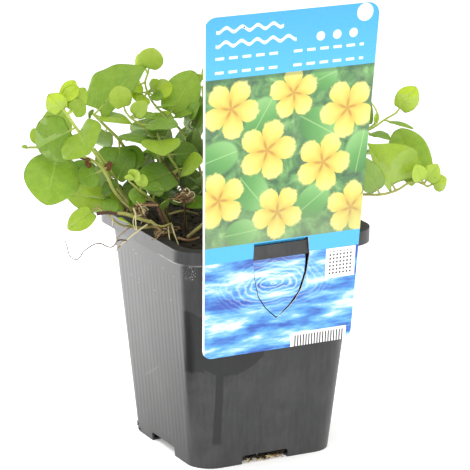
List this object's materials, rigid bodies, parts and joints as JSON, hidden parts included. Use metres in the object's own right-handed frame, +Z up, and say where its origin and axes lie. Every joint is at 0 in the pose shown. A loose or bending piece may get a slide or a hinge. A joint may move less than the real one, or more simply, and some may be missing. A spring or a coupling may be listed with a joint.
{
  "type": "potted creeping jenny",
  "caption": "Square black nursery pot of peat with spreading, round-leaved creeping jenny shoots and a large plastic picture label hooked on its rim.",
  "frame": {"origin": "on the ground under the middle of the square pot, which is the middle of the underside of the whole object's box", "axes": "+Z up, -Y out of the pot's front, where the label hangs, +X to the right for someone who faces the label"},
  "size_m": [0.1701, 0.1122, 0.1964],
  "materials": {
    "pot_plastic": "satin",
    "peat": "matte",
    "label_card": "gloss",
    "stem_green": "satin",
    "leaf_green": "satin"
  },
  "bodies": {
    "root": {"label": "label_card", "leaf_01a": "leaf_green", "leaf_01b": "leaf_green", "leaf_02a": "leaf_green", "leaf_02b": "leaf_green", "leaf_03a": "leaf_green", "leaf_03b": "leaf_green", "leaf_03c": "leaf_green", "leaf_04a": "leaf_green", "leaf_04b": "leaf_green", "leaf_05a": "leaf_green", "leaf_05b": "leaf_green", "leaf_05c": "leaf_green", "leaf_05d": "leaf_green", "leaf_06a": "leaf_green", "leaf_06b": "leaf_green", "leaf_06c": "leaf_green", "leaf_06d": "leaf_green", "leaf_07a": "leaf_green", "leaf_08a": "leaf_green", "leaf_08b": "leaf_green", "leaf_09a": "leaf_green", "leaf_09b": "leaf_green", "leaf_09c": "leaf_green", "leaf_10a": "leaf_green", "leaf_10b": "leaf_green", "leaf_10c": "leaf_green", "leaf_11a": "leaf_green", "leaf_11b": "leaf_green", "leaf_12a": "leaf_green", "leaf_12b": "leaf_green", "leaf_13a": "leaf_green", "leaf_13b": "leaf_green", "leaf_14a": "leaf_green", "leaf_14b": "leaf_green", "leaf_15a": "leaf_green", "leaf_15b": "leaf_green", "leaf_16a": "leaf_green", "leaf_17a": "leaf_green", "leaf_17b": "leaf_green", "pot": "pot_plastic", "soil": "peat", "stem_01": "stem_green", "stem_02": "stem_green", "stem_03": "stem_green", "stem_04": "stem_green", "stem_05": "stem_green", "stem_06": "stem_green", "stem_07": "stem_green", "stem_08": "stem_green", "stem_09": "stem_green", "stem_10": "stem_green", "stem_11": "stem_green", "stem_12": "stem_green", "stem_13": "stem_green", "stem_14": "stem_green", "stem_15": "stem_green", "stem_16": "stem_green", "stem_17": "stem_green"}
  },
  "joints": []
}
